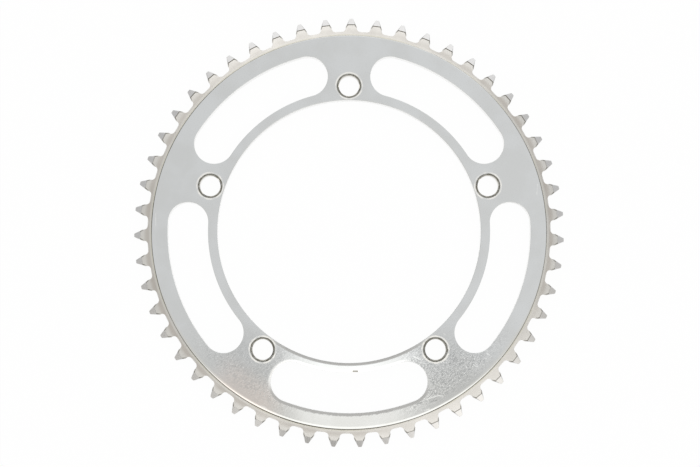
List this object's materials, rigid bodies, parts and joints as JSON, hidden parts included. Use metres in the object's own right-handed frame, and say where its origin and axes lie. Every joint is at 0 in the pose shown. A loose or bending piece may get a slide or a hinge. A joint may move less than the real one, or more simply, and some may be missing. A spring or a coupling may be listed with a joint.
{
  "type": "bicycle chainring",
  "caption": "Flat toothed bicycle chainring with a large central bore, curved lightening slots, and countersunk bolt holes that fasten it to a crank spider.",
  "frame": {"origin": "on the ring's axis, in the plane of its back face", "axes": "+Z along the ring's axis, out of the finished front face; +Y through the centre of one bolt hole"},
  "size_m": [0.2117, 0.2117, 0.005],
  "materials": {
    "polished_aluminium": "polished and lightly brushed bare aluminium, dull in the tooth band, with used teeth"
  },
  "bodies": {
    "root": {"chainring": "polished_aluminium"}
  },
  "joints": []
}
